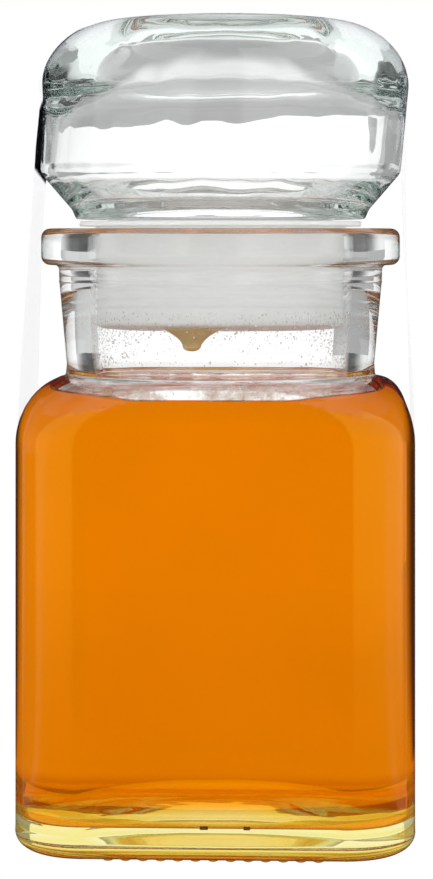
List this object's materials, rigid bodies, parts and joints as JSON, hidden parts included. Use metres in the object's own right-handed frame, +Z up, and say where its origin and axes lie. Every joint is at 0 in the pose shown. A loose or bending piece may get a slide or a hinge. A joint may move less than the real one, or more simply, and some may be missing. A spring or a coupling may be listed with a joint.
{
  "type": "honey jar",
  "caption": "Square glass jar of honey with a round neck, a milky plastic stopper, a hollow glass lid and a clear film strip over the lid and down two sides.",
  "frame": {"origin": "centre of the foot print, on the surface that the jar stands on", "axes": "+Z up through the lid, -Y out of the front face that the picture shows, +X to the right in the picture"},
  "size_m": [0.058, 0.057, 0.1205],
  "materials": {
    "clear_glass": "clear moulded flint glass, smooth, with a faint mould seam",
    "lid_glass": "clear thick glass with a faint grey-green cast in the edges",
    "honey": "clear amber honey, wet gloss",
    "milky_plastic": "translucent milky polyethylene, satin",
    "clear_film": "thin clear film with a plain dark printed field"
  },
  "bodies": {
    "root": {"jar": "clear_glass", "honey": "honey", "stopper": "milky_plastic", "lid": "lid_glass", "film_strip": "clear_film", "honey_drip": "honey"}
  },
  "joints": []
}
